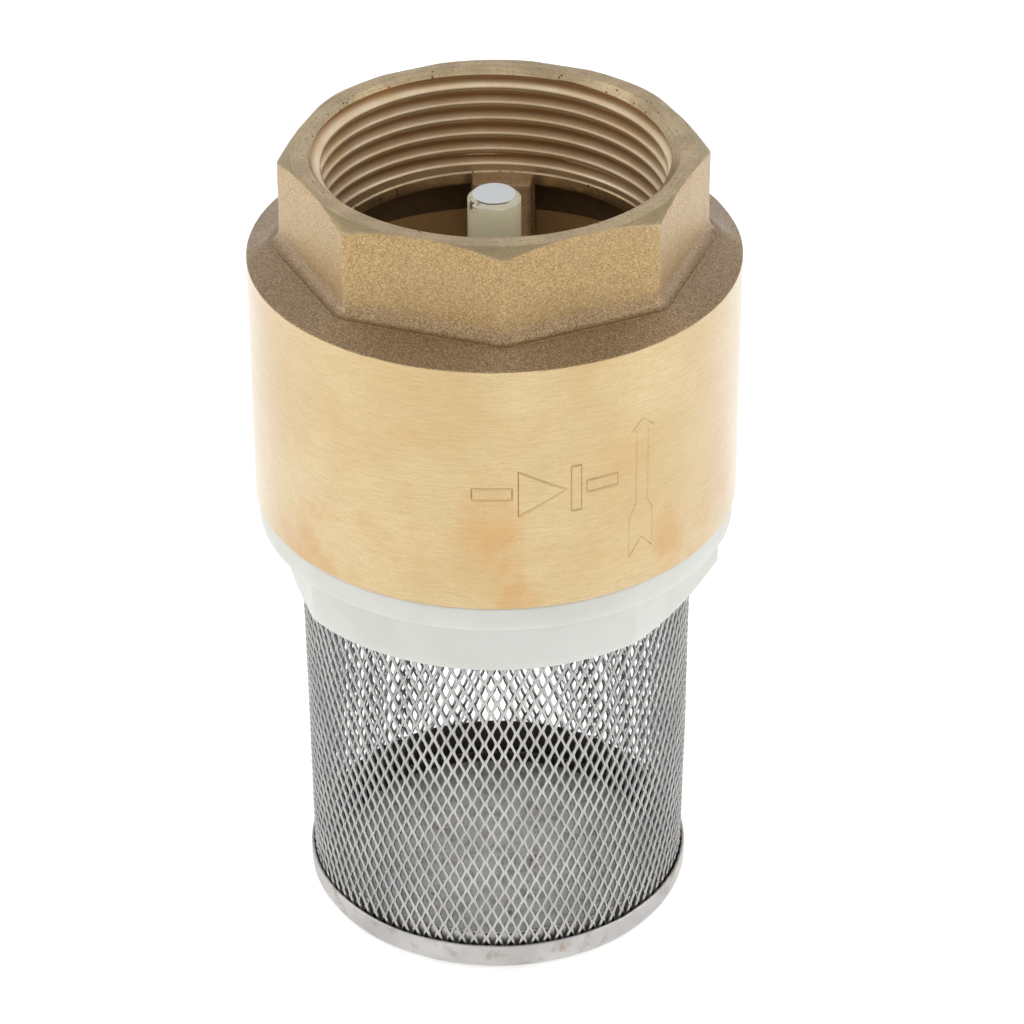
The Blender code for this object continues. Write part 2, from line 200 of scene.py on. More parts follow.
def arc(centre, radius, start, end, steps):
    """Points (radius, height) along a round of a profile, angles in degrees."""
    angles = np.radians(np.linspace(start, end, steps + 1))
    return [(centre[0] + radius * math.cos(a), centre[1] + radius * math.sin(a)) for a in angles]


def octagon_radius(angles, turn, apothem, edge_r):
    """Distance from Z to an octagon with rounded upright edges, at each angle."""
    sector = math.radians(45.0)
    from_corner = np.abs((angles - turn + sector / 2) % sector - sector / 2)
    from_flat = sector / 2 - from_corner
    straight = apothem / np.cos(from_flat)
    centre = (apothem - edge_r) / math.cos(sector / 2)
    inside = np.maximum(edge_r ** 2 - (centre * np.sin(from_corner)) ** 2, 0.0)
    rounded = centre * np.cos(from_corner) + np.sqrt(inside)
    tangent = (apothem - edge_r) * math.tan(sector / 2)
    return np.where(apothem * np.tan(from_flat) > tangent, rounded, straight)


def corner_angles(turn):
    """Angles round Z, close together at the eight corners and wider apart along the flats."""
    steps = np.concatenate([np.linspace(0.0, 3.0, 7), np.linspace(3.9, 22.5, 16)[:-1]])
    offsets = np.concatenate([-steps[:0:-1], steps, [22.5]])
    sectors = [turn + math.radians(45.0 * k) + np.radians(offsets) for k in range(8)]
    return np.concatenate(sectors)


def roughen(points, size, depth, seed):
    """Push points along their direction from Z by smooth noise."""
    shift = Vector((seed * 13.7, seed * 5.1, seed * 9.3))
    for p in points:
        amount = noise.noise(Vector(p) / size + shift) * depth
        radius = math.hypot(p[0], p[1])
        p[0] += p[0] / radius * amount
        p[1] += p[1] / radius * amount
    return points


# -------- brass body

def outside_rows(angles):
    """(points, material) for each row, from the mouth of the thread out and down to the bottom."""
    rows = []

    def add(radius, height, slot):
        rows.append((row_at(angles, radius, height), slot))

    def ring(offset):
        return octagon_radius(angles, HEAD_TURN, HEAD_APOTHEM + offset, HEAD_EDGE_R + offset)

    side = ring(0.0)
    inner = side - 0.14 * MM
    flat_end = np.minimum(RIM_FLAT_R, inner)
    for share in (0.04, 0.5, 1.0):
        add(MOUTH_R + (flat_end - MOUTH_R) * share, TOP, MACHINED)
    for share in (0.33, 0.67, 1.0):
        radius = flat_end + (inner - flat_end) * share
        add(radius, TOP - RIM_SLOPE * (radius - flat_end), MACHINED)
    edge = TOP - RIM_SLOPE * np.maximum(side - RIM_FLAT_R, 0.0)
    add(side - 0.04 * MM, edge - 0.05 * MM, MACHINED)
    add(side, edge - 0.17 * MM, CAST)

    fillet_top = SHOULDER_TOP + FILLET_HEIGHT
    for share in np.linspace(0.0, 1.0, 13)[1:]:
        height = (edge - 0.17 * MM) * (1 - share) + fillet_top * share
        add(side, height, CAST)
    for turn in np.radians(np.linspace(0.0, 90.0, 8)[1:]):
        add(ring(FILLET_WIDTH * (1 - math.cos(turn))),
            fillet_top - (FILLET_HEIGHT - 0.07 * MM) * math.sin(turn), CAST)
    for offset, rise in ((1.34, 0.05), (1.44, 0.07), (1.56, 0.0), (1.8, -0.05)):
        add(ring(offset * MM), SHOULDER_TOP + rise * MM, CAST)
    start = ring(1.8 * MM)
    start_z = SHOULDER_TOP - 0.05 * MM
    for share in np.linspace(0.0, 1.0, 10)[1:]:
        radius = start + (BARREL_R - 0.06 * MM - start) * share
        add(radius, start_z + (BARREL_TOP + 0.05 * MM - start_z) * share, CAST)

    add(BARREL_R, BARREL_TOP - 0.05 * MM, TURNED)
    for share in np.linspace(0.0, 1.0, 13)[1:]:
        top = BARREL_TOP - 0.3 * MM
        add(BARREL_R, top + (BARREL_BOTTOM + 0.4 * MM - top) * share, TURNED)
    add(BARREL_R - 0.12 * MM, BARREL_BOTTOM + 0.12 * MM, TURNED)
    add(BARREL_R - 0.4 * MM, BARREL_BOTTOM, TURNED)
    return rows


def inside_rows(angles):
    """Rows from the bottom face up through the chamber to the land under the thread."""
    profile = [
        (CHAMBER_R + 0.3 * MM, BARREL_BOTTOM), (CHAMBER_R, BARREL_BOTTOM + 0.3 * MM),
        (CHAMBER_R, BARREL_BOTTOM + 13.0 * MM), (CHAMBER_R, CHAMBER_TOP - 0.2 * MM),
        (CHAMBER_R - 0.3 * MM, CHAMBER_TOP)]
    rows = [(row_at(angles, r, z), MACHINED) for r, z in profile]
    ceiling = [
        (28.3, 22.8), (28.2, 21.5), (27.8, 20.4), (27.0, 19.1), (26.0, 18.1), (24.6, 17.4),
        (23.3, 16.9), (22.35, 16.55)]
    for r, depth in ceiling:
        rows.append((row_at(angles, r * MM, TOP - depth * MM), INSIDE))
    for r, z in ((LAND_R, LAND_BOTTOM + 0.1 * MM), (LAND_R, LAND_TOP - 0.1 * MM),
                 (LAND_R + 0.1 * MM, LAND_TOP)):
        rows.append((row_at(angles, r, z), MACHINED))
    return rows


def thread_points(angles):
    """Rows that climb with the helix, from the land to the end face, as one array of points."""
    low = LAND_TOP + 0.1 * MM
    start = low - PITCH
    count = math.ceil((TOP - start) / PITCH * THREAD_STEPS) + THREAD_STEPS
    turn = (angles - angles[0]) / math.tau
    rows = []
    for m in range(count + 1):
        share = m / THREAD_STEPS % 1.0
        ramp = np.clip((1.0 - abs(2.0 * share - 1.0) - 0.17) / 0.71, 0.0, 1.0)
        ramp = ramp - 0.06 * math.sin(math.tau * ramp)
        height = np.clip(start + PITCH * (m / THREAD_STEPS + turn), low, TOP)
        fade = np.clip((height - low - 0.3 * MM) / (1.6 * MM), 0.0, 1.0)
        depth = (THREAD_MAJOR_R - THREAD_MINOR_R) * ramp * fade * fade * (3 - 2 * fade)
        radius = np.maximum(THREAD_MINOR_R + depth, MOUTH_R - (TOP - height))
        rows.append(row_at(angles, radius, height))
    return rows


def body_shell(angles):
    """The casting's whole skin, inside and out, as one closed mesh."""
    columns = len(angles)
    sleeve = outside_rows(angles) + inside_rows(angles)
    rows = [points for points, slot in sleeve]
    slots = [slot for points, slot in sleeve]
    cast = [i for i, slot in enumerate(slots) if slot in (CAST, INSIDE)]
    for i in cast:
        roughen(rows[i], 1.7 * MM, 0.05 * MM, 1)
        roughen(rows[i], 7.0 * MM, 0.10 * MM, 2)
    for p in rows[cast[-1]]:
        p[2] += noise.noise(Vector(p) / (2.0 * MM)) * 0.05 * MM
    shoulder_end = slots.index(TURNED)
    for i in (shoulder_end - 1, shoulder_end):
        for p in rows[i]:
            radius = math.hypot(p[0], p[1])
            limit = BARREL_R - (0.06 * MM if i < shoulder_end else 0.0)
            p[0] *= limit / radius
            p[1] *= limit / radius
            spot = Vector((p[0], p[1], 0.0))
            p[2] += (noise.noise(spot / (1.5 * MM)) * 0.05 + noise.noise(spot / (6 * MM)) * 0.07) * MM

    thread = thread_points(angles)
    faces = skin_faces(len(rows), columns)
    face_slots = []
    for i in range(len(rows) - 1):
        face_slots += [slots[i] if slots[i] == CAST and slots[i + 1] == TURNED else slots[i + 1]] * columns
    base = len(rows) * columns

    def place(row, column):
        row = min(row, len(thread) - 1)
        return base + row * columns + column

    for m in range(len(thread) - 1):
        for j in range(columns):
            if j + 1 < columns:
                quad = (place(m, j), place(m, j + 1), place(m + 1, j + 1), place(m + 1, j))
            else:
                up = m + THREAD_STEPS
                quad = (place(m, j), place(up, 0), place(up + 1, 0), place(m + 1, j))
            faces.append(quad)
            corner = thread[min(m + 1, len(thread) - 1)][j]
            on_chamfer = math.hypot(corner[0], corner[1]) - (MOUTH_R - (TOP - corner[2])) < 0.001 * MM
            face_slots.append(MACHINED if on_chamfer else THREAD)
    top_row = place(len(thread) - 1, 0)
    bottom_row = place(0, 0)
    last = (len(rows) - 1) * columns
    for j in range(columns):
        k = (j + 1) % columns
        faces.append((top_row + j, top_row + k, k, j))
        faces.append((last + j, last + k, bottom_row + k, bottom_row + j))
        face_slots += [MACHINED, MACHINED]
    return mesh_from("valve_body_shell", np.concatenate(rows + thread), faces, face_slots)


def extruded(points, step):
    """A flat face over the points, carried along step into a solid, as a bmesh."""
    bm = bmesh.new()
    face = bm.faces.new([bm.verts.new(p) for p in points])
    made = bmesh.ops.extrude_face_region(bm, geom=[face])
    lifted = [v for v in made["geom"] if isinstance(v, bmesh.types.BMVert)]
    bmesh.ops.translate(bm, verts=lifted, vec=step)
    bmesh.ops.recalc_face_normals(bm, faces=bm.faces)
    return bm


def bevelled(name, bm, edges, offset, segments):
    """The bmesh as an object, with some of its edges rounded."""
    if edges:
        bmesh.ops.bevel(bm, geom=edges, offset=offset, segments=segments, profile=0.5, affect="EDGES")
    mesh = bpy.data.meshes.new(name)
    bm.to_mesh(mesh)
    bm.free()
    return link(name, mesh)


def prism(name, outline, bottom, top, bevel=0.0):
    """An upright prism over an outline of (x, y) points, with its top edges broken."""
    bm = extruded([(x, y, bottom) for x, y in outline], (0, 0, top - bottom))
    level = [e for e in bm.edges
             if abs(e.verts[0].co.z - e.verts[1].co.z) < 1e-7 and e.verts[0].co.z > bottom]
    return bevelled(name, bm, level if bevel else [], bevel, 2)


def rib_outline(flare):
    """Plan of a guide rib on the +X axis: round inner corners, and roots that flare into the wall."""
    half = ARM_HALF_WIDTH
    nose = 18.55 * MM
    corner = 0.5 * MM
    root = 22.5 * MM
    side = [(nose + corner * (1 - math.sin(a)), half - corner * (1 - math.cos(a)))
            for a in np.radians([90, 60, 30, 0])]
    side += [(root - flare * (1 - math.sin(a)), half + flare * (1 - math.cos(a)))
             for a in np.radians([0, 18, 36, 54, 72, 88])]
    side.append((29.2 * MM, half + flare))
    return side + [(x, -y) for x, y in side[::-1]]


def guide_spider():
    """Hub, three webs and three ribs, as separate closed meshes in one list."""
    bore = STEM_R + STEM_PLAY
    edge = 0.5 * MM
    hub = [(bore + edge, HUB_TOP), (HUB_R - edge, HUB_TOP), (HUB_R, HUB_TOP - edge),
           (HUB_R, HUB_BOTTOM), (bore, HUB_BOTTOM), (bore, HUB_TOP - edge)]
    solids = [turned("hub", hub, None, 72, closed=True)]
    for index in range(3):
        turn = Matrix.Rotation(ARM_TURN + index * math.tau / 3, 4, "Z")
        rib = prism("rib", rib_outline(0.3 * MM), RIB_BOTTOM, RIB_TOP)
        plate = prism("plate", rib_outline(1.75 * MM), PLATE_BOTTOM, PLATE_TOP, 0.22 * MM)
        for solid in (rib, plate, web()):
            solid.data.transform(turn)
            solids.append(solid)
    return solids


def web():
    """The web from hub to rib: flat under the spring, its top sloping down outwards."""
    outline = [(5.0, 23.0), (10.0, 23.0), (10.0, 29.1), (18.9, 29.1), (18.9, 23.6), (8.0, 19.4), (5.0, 19.4)]
    half = ARM_HALF_WIDTH
    bm = extruded([(r * MM, -half, TOP - depth * MM) for r, depth in outline], (0, 2 * half, 0))
    along = [e for e in bm.edges if abs(e.verts[0].co.y - e.verts[1].co.y) < 1e-7
             and min(v.co.z for v in e.verts) > TOP - 24.0 * MM and max(v.co.x for v in e.verts) > 7 * MM]
    return bevelled("web", bm, along, 0.6 * MM, 3)


def wrapped_groove(name, outline, width):
    """A ring of tube along an outline of (angle, height) points laid on the barrel."""
    curve = bpy.data.curves.new(name, "CURVE")
    curve.dimensions = "3D"
    curve.bevel_depth = width / 2
    curve.bevel_resolution = 1
    points = []
    for a, b in zip(outline, outline[1:] + outline[:1]):
        steps = max(1, math.ceil(abs(b[0] - a[0]) / math.radians(1.0)))
        for k in range(steps):
            points.append((a[0] + (b[0] - a[0]) * k / steps, a[1] + (b[1] - a[1]) * k / steps))
    spline = curve.splines.new("POLY")
    spline.points.add(len(points) - 1)
    radius = BARREL_R + width * 0.18
    for point, (a, z) in zip(spline.points, points):
        point.co = (radius * math.cos(a), radius * math.sin(a), z, 1.0)
    spline.use_cyclic_u = True
    made = link(name, curve)
    bpy.context.view_layer.update()
    mesh = bpy.data.meshes.new_from_object(made.evaluated_get(bpy.context.evaluated_depsgraph_get()))
    bpy.data.objects.remove(made)
    return link(name, cleaned(mesh, 0.001 * MM))


def mark_outlines():
    """Generic marks engraved in the barrel: a flow arrow, and the sign for a check valve."""
    def spot(degrees, depth):
        """Angle and height of a point: degrees round from the front, and depth below the end face."""
        return math.radians(degrees - 90.0), TOP - depth * MM

    def box(start, end, half):
        return [spot(start, middle - half), spot(end, middle - half), spot(end, middle + half),
                spot(start, middle + half)]

    arrow = [spot(35.1, 24.6), spot(38.3, 26.2), spot(36.7, 26.2), spot(36.7, 37.0), spot(38.2, 38.4),
             spot(38.2, 44.3), spot(35.1, 42.4), spot(31.7, 45.0), spot(31.7, 39.0), spot(33.5, 37.2),
             spot(33.5, 26.4), spot(31.9, 26.4)]
    middle = 32.4
    tall, low = 3.3, 0.85
    triangle = [spot(5.0, middle - tall), spot(16.0, middle), spot(5.0, middle + tall)]
    sign = (box(-5.5, 3.6, low), triangle, box(17.2, 19.6, tall), box(20.9, 28.6, low))
    return [("arrow", arrow, 0.26 * MM)] + [("mark", outline, 0.38 * MM) for outline in sign]


def apply_modifiers(item):
    bpy.context.view_layer.update()
    ready = item.evaluated_get(bpy.context.evaluated_depsgraph_get())
    mesh = bpy.data.meshes.new_from_object(ready)
    item.modifiers.clear()
    item.data = mesh


def boolean(item, tool, operation):
    step = item.modifiers.new(operation.lower(), "BOOLEAN")
    step.operation = operation
    step.object = tool
    step.solver = "EXACT"


def true_barrel_normals(item):
    """Give the barrel the normals of a true cylinder, so that the engraving leaves no facets."""
    mesh = item.data
    normals = np.zeros(len(mesh.loops) * 3, np.float32)
    mesh.corner_normals.foreach_get("vector", normals)
    normals = normals.reshape(-1, 3)
    points = np.zeros(len(mesh.vertices) * 3, np.float32)
    mesh.vertices.foreach_get("co", points)
    points = points.reshape(-1, 3)
    for face in mesh.polygons:
        if face.material_index != TURNED:
            continue
        corners = list(face.loop_indices)
        spots = points[[mesh.loops[c].vertex_index for c in corners]]
        radii = np.hypot(spots[:, 0], spots[:, 1])
        if np.all(np.abs(radii - BARREL_R) < 0.01 * MM):
            normals[corners, 0] = spots[:, 0] / radii
            normals[corners, 1] = spots[:, 1] / radii
            normals[corners, 2] = 0.0
    mesh.normals_split_custom_set([tuple(n) for n in normals])


def valve_body(finishes):
    """The casting: its shell joined with the guide arms and hub, and the marks cut into its barrel."""
    body = link("valve_body_brass", body_shell(corner_angles(HEAD_TURN)))
    for finish in finishes:
        body.data.materials.append(finish)
    tools = [(solid, INSIDE, "UNION") for solid in guide_spider()]
    for name, outline, width in mark_outlines():
        tools.append((wrapped_groove(name, outline, width), TURNED, "DIFFERENCE"))
    for tool, slot, operation in tools:
        tool.data.materials.clear()
        for finish in finishes:
            tool.data.materials.append(finish)
        tool.data.polygons.foreach_set("material_index", [slot] * len(tool.data.polygons))
        boolean(body, tool, operation)
    apply_modifiers(body)
    for tool, slot, operation in tools:
        bpy.data.objects.remove(tool)
    smooth(body)
    true_barrel_normals(body)
    return finished(body, "housing", "brass", "valve_body")


# -------- nylon collar

def inlet_collar(finish):
    """Seat and spigot inside the body, round flange, and a foot with two wrench flats on each side."""
    seat_z = COLLAR_HIGH.z
    top_face = BARREL_BOTTOM - 0.04 * MM
    flange_r = COLLAR_HIGH.x
    bottom = COLLAR_LOW.z
    flange_bottom = bottom + 8.4 * MM
    angles = corner_angles(COLLAR_TURN)
    half_sector = math.radians(22.5)
    apothem = FOOT_CORNER_R * math.cos(half_sector)
    edge_r = 0.9 * MM
    flats = octagon_radius(angles, COLLAR_TURN, apothem, edge_r)
    round_r = (apothem - edge_r) / math.cos(half_sector) + edge_r
    from_side = np.abs((angles - COLLAR_TURN + math.pi / 2) % math.pi - math.pi / 2)
    side = np.where(from_side > math.radians(45.0), round_r, flats)
    rows = []

    def add(radius, height):
        rows.append(row_at(angles, radius, height))

    for r, z in ((19.6 * MM, seat_z - 0.3 * MM), (19.9 * MM, seat_z), (21.1 * MM, seat_z),
                 (21.6 * MM, seat_z - 0.7 * MM), (27.8 * MM, seat_z - 0.7 * MM),
                 (28.3 * MM, seat_z - 1.2 * MM), (28.3 * MM, seat_z - 5.1 * MM),
                 (26.4 * MM, seat_z - 5.1 * MM), (26.4 * MM, top_face),
                 (flange_r - 0.5 * MM, top_face)):
        add(r, z)
    outside_start = len(rows)
    for r, z in arc((flange_r - 0.4 * MM, top_face - 0.4 * MM), 0.4 * MM, 90, 0, 4):
        add(r, z)
    for r, z in arc((flange_r - 0.5 * MM, flange_bottom + 0.5 * MM), 0.5 * MM, 0, -90, 4):
        add(r, z)
    fillet = 0.6 * MM
    for a in np.radians([90, 60, 30, 0]):
        add(side + fillet * (1 - math.cos(a)), flange_bottom - fillet * (1 - math.sin(a)))
    lower = bottom + FOOT_SLOPE * np.maximum(side - apothem, 0.0)
    for share in (0.25, 0.5, 0.75):
        add(side, (flange_bottom - fillet) * (1 - share) + (lower + 0.2 * MM) * share)
    add(side, lower + 0.2 * MM)
    add(side - 0.07 * MM, lower + 0.06 * MM)
    add(side - 0.22 * MM, np.maximum(lower - FOOT_SLOPE * 0.22 * MM, bottom))
    outside_end = len(rows)
    add(np.minimum(side, apothem) - 0.25 * MM, bottom)
    for r, z in ((27.2 * MM, bottom), (26.9 * MM, bottom + 0.3 * MM), (26.9 * MM, bottom + 8.3 * MM),
                 (19.9 * MM, bottom + 8.3 * MM), (19.6 * MM, bottom + 8.6 * MM)):
        add(r, z)
    for points in rows[outside_start:outside_end]:
        roughen(points, 9.0 * MM, 0.06 * MM, 5)
    faces = skin_faces(len(rows), len(angles), closed=True)
    mesh = mesh_from("inlet_collar_nylon", np.concatenate(rows), faces)
    mesh.materials.append(finish)
    collar = smooth(link("inlet_collar_nylon", mesh))
    return finished(collar, "housing", "white_nylon", "inlet_collar")


# -------- strainer

def strainer_mesh(finish, edge_and_inner_shade_finish):
    """Expanded-metal sleeve: lens-shaped holes between strands that are twisted out of the sheet."""
    bottom = SLEEVE_LOW.z
    top = SLEEVE_HIGH.z
    bottom_r = SLEEVE_HIGH.x - 0.65 * MM
    top_r = SLEEVE_HIGH.x
    rows = math.floor((top - bottom) / HALF_ROW) - 1
    step = math.tau / (2 * COLUMNS)
    hole_width = HALF_HOLE_WIDTH / (0.87 * MM)
    hole_height = HALF_HOLE_HEIGHT / HALF_ROW
    tilt = 0.15 * MM
    points = []
    outer = {}

    def place(column, row, push):
        """A point of the sheet; column and row are in half cells and may be fractions."""
        height = bottom + HALF_ROW * (row + 1)
        angle = column * step
        radius = bottom_r + (top_r - bottom_r) * (height - bottom) / (top - bottom)
        spot = Vector((math.cos(angle), math.sin(angle), height / radius))
        angle += noise.noise(spot * 2.5) * 0.10 * MM / radius
        height += noise.noise(spot * 2.5 + Vector((7.0, 3.0, 1.0))) * 0.10 * MM
        radius += noise.noise(spot * 1.6 + Vector((2.0, 9.0, 4.0))) * 0.12 * MM + push
        points.append((radius * math.cos(angle), radius * math.sin(angle), height))
        return len(points) - 1

    def shared(column, row):
        key = (round(column * 2) % (4 * COLUMNS), round(row * 2))
        if key not in outer:
            outer[key] = place(column, row, 0.0)
        return outer[key]

    around = [(1, 0), (0.5, 0.5), (0, 1), (-0.5, 0.5), (-1, 0), (-0.5, -0.5), (0, -1), (0.5, -0.5)]
    lens = [(1, 0), (0.6, 0.5), (0, 1), (-0.6, 0.5), (-1, 0), (-0.6, -0.5), (0, -1), (0.6, -0.5)]
    faces = []
    for row in range(rows):
        for column in range(row % 2, 2 * COLUMNS, 2):
            edge = [shared(column + x, row + y) for x, y in around]
            hole = [place(column + x * hole_width, row + y * hole_height, y * tilt) for x, y in lens]
            for i in range(8):
                k = (i + 1) % 8
                faces.append((edge[i], edge[k], hole[k], hole[i]))
    mesh = bpy.data.meshes.new("strainer_mesh_steel")
    mesh.from_pydata(points, [], faces)
    mesh.materials.append(finish)
    mesh.materials.append(edge_and_inner_shade_finish)
    sleeve = link("strainer_mesh_steel", mesh)
    sheet = sleeve.modifiers.new("sheet", "SOLIDIFY")
    sheet.thickness = SLEEVE_THICKNESS
    sheet.offset = -1.0
    # The inner side and the cut edges take the second finish, which carries painted shade on the inner side.
    sheet.material_offset = 1
    sheet.material_offset_rim = 1
    apply_modifiers(sleeve)
    smooth(sleeve, 50.0)
    return finished(sleeve, "housing", "mesh_steel", "strainer_mesh")


def strainer_cap(finish):
    """Pressed pan, with a low upstand inside the sleeve that holds it against the rim."""
    radius = CAP_HIGH.x
    wall = CAP_WALL
    rim = CAP_HIGH.z
    edge_r = CAP_BEND_R
    wall_start = CAP_LOW.z + 2.9 * MM
    centre = (radius - edge_r, CAP_LOW.z + edge_r)
    floor = [(r * MM, CAP_LOW.z + wall) for r in (0.0, 5.0, 10.0, 15.0, 20.0)]
    bend = edge_r - wall
    stand_in, stand_out = UPSTAND_R, UPSTAND_R + 0.35 * MM
    stand_top = rim + 1.6 * MM
    stand_foot = CAP_LOW.z + 2.4 * MM
    first = math.degrees(math.asin((stand_in - centre[0]) / bend))
    second = math.degrees(math.asin((stand_out - centre[0]) / bend))
    inside = arc(centre, bend, -90.0, first - 90.0, 4)
    inside += [(stand_in, z) for z in (CAP_LOW.z + 1.2 * MM, stand_foot, stand_top - 0.18 * MM)]
    inside += [(stand_in + 0.10 * MM, stand_top), (stand_out - 0.10 * MM, stand_top)]
    inside += [(stand_out, z) for z in (stand_top - 0.15 * MM, stand_foot)]
    inside += arc(centre, bend, second - 90.0, 0.0, 4)
    wall_inner = [(radius - wall, z) for z in np.linspace(wall_start, rim - 0.4 * MM, 4)]
    lip = arc((radius - wall / 2, rim - wall / 2), wall / 2, 180.0, 0.0, 6)
    wall_outer = [(radius, z) for z in np.linspace(rim - 0.5 * MM, wall_start, 5)]
    outside = arc(centre, edge_r, 0.0, -90.0, 8)
    under = [(r * MM, CAP_LOW.z) for r in (20.0, 10.0, 0.0)]
    profile = floor + inside + wall_inner + lip + wall_outer + outside + under
    cap = turned("strainer_cap_steel", profile, finish, 256)
    dished_r = 24.0 * MM
    for v in cap.data.vertices:
        radius_here = math.hypot(v.co.x, v.co.y)
        if radius_here > dished_r:
            spot = Vector((v.co.x, v.co.y, 0.0)) / (9.0 * MM)
            grow = 1.0 + noise.noise(spot) * 0.09 * MM / radius_here
            v.co.x *= grow
            v.co.y *= grow
            if v.co.z > CAP_LOW.z + 2.5 * MM:
                v.co.z += noise.noise(spot * 1.7 + Vector((3.0, 1.0, 8.0))) * 0.10 * MM
        elif v.co.z < CAP_LOW.z + wall / 2:
            v.co.z += 0.12 * MM * (1.0 - radius_here / dished_r)
    return finished(cap, "housing", "cap_steel", "strainer_cap")


# -------- inside pieces

def poppet(finish):
    """Stem with a worn, chamfered end, and the disc with the spring's groove in its top."""
    top = POPPET_HIGH.z
    low = POPPET_LOW.z
    disc_r = POPPET_HIGH.x
    disc_top = SEAL_HIGH.z + 3.3 * MM
    disc_under = disc_top - 3.0 * MM
    groove = (7.4 * MM, 9.4 * MM)
    edge = 0.3 * MM
    profile = [(0.0, top), (1.5 * MM, top), (2.7 * MM, top), (2.8 * MM, top - 0.02 * MM),
               (2.88 * MM, top - 0.08 * MM), (3.15 * MM, top - 0.34 * MM), (3.42 * MM, top - 0.62 * MM),
               (STEM_R, top - 0.70 * MM)]
    profile += [(STEM_R, z) for z in np.linspace(top - 1.6 * MM, disc_top + 1.2 * MM, 14)]
    profile += arc((STEM_R + 0.8 * MM, disc_top + 0.8 * MM), 0.8 * MM, 180.0, 270.0, 4)
    profile += [(groove[0] - 0.1 * MM, disc_top), (groove[0], disc_top - 0.1 * MM),
                (groove[0], disc_top - 1.0 * MM), (groove[1], disc_top - 1.0 * MM),
                (groove[1], disc_top - 0.1 * MM), (groove[1] + 0.1 * MM, disc_top),
                (15.0 * MM, disc_top), (disc_r - edge, disc_top), (disc_r, disc_top - edge),
                (disc_r, disc_under + edge), (disc_r - edge, disc_under), (10.0 * MM, disc_under),
                (4.0 * MM, disc_under), (4.0 * MM, low + 1.0 * MM), (5.0 * MM, low + 0.95 * MM),
                (5.0 * MM, low + 0.7 * MM), (4.1 * MM, low), (0.0, low)]
    made = turned("poppet_nylon", profile, finish, 128)
    for v in made.data.vertices:
        radius = math.hypot(v.co.x, v.co.y)
        if v.co.z > top - 1.3 * MM and radius > 2.4 * MM:
            spot = Vector((v.co.x, v.co.y, 0.0)) / (1.6 * MM)
            grow = 1.0 + noise.noise(spot + Vector((5.0, 2.0, 1.0))) * 0.012
            v.co.z += noise.noise(spot) * 0.12 * MM * min(1.0, (top - v.co.z) / (0.2 * MM) + 0.1)
            v.co.x *= grow
            v.co.y *= grow
    return finished(made, "poppet", "natural_nylon", "poppet")


def plain_ring(piece, suffix, low, high, edge, finish, slot):
    """A flat ring round the poppet's foot, with its edges broken."""
    inner = 4.3 * MM
    outer = high.x
    profile = [(inner + edge, high.z), (outer - edge, high.z)]
    profile += arc((outer - edge, high.z - edge), edge, 90.0, 0.0, 3)[1:]
    profile += arc((outer - edge, low.z + edge), edge, 0.0, -90.0, 3)
    profile += [(inner + edge, low.z), (inner, low.z + edge), (inner, high.z - edge)]
    made = turned(piece + suffix, profile, finish, 128, closed=True)
    return finished(made, "poppet", slot, piece)


def collar_o_ring(finish):
    wire = (O_RING_HIGH.z - O_RING_LOW.z) / 2
    centre = (O_RING_HIGH.x - wire, (O_RING_HIGH.z + O_RING_LOW.z) / 2)
    profile = arc(centre, wire, 90.0, -270.0, 16)[:-1]
    made = turned("collar_o_ring_rubber", profile, finish, 128, closed=True)
    return finished(made, "housing", "black_rubber", "collar_o_ring")


def return_spring(finish):
    """Coil spring with its end turns closed."""
    wire = 0.55 * MM
    coil_r = 8.4 * MM
    turns = 5
    end_rise = 1.3 * MM
    per_turn = 48
    sides = 12
    bottom = SPRING_LOW.z + wire
    top = SPRING_HIGH.z - wire
    pitch = (top - bottom - 2 * end_rise) / (turns - 2)
    rows = []
    for i in range(turns * per_turn + 1):
        turn = i / per_turn
        middle = min(max(turn - 1.0, 0.0), turns - 2.0)
        height = bottom + (turn - middle) * end_rise + middle * pitch
        a = math.tau * turn
        out = Vector((math.cos(a), math.sin(a), 0.0))
        centre = out * coil_r + Vector((0.0, 0.0, height))
        rows.append([centre + out * (wire * math.cos(b)) + Vector((0.0, 0.0, wire * math.sin(b)))
                     for b in np.linspace(0.0, math.tau, sides, endpoint=False)])
    points = [p for row in rows for p in row]
    faces = skin_faces(len(rows), sides)
    faces += [tuple(range(sides)), tuple(range(len(points) - sides, len(points)))]
    mesh = mesh_from("return_spring_steel", points, faces)
    mesh.materials.append(finish)
    spring = smooth(link("return_spring_steel", mesh), 60.0)
    finished(spring, "housing", "spring_steel", "return_spring")
    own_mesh(spring)


# -------- materials

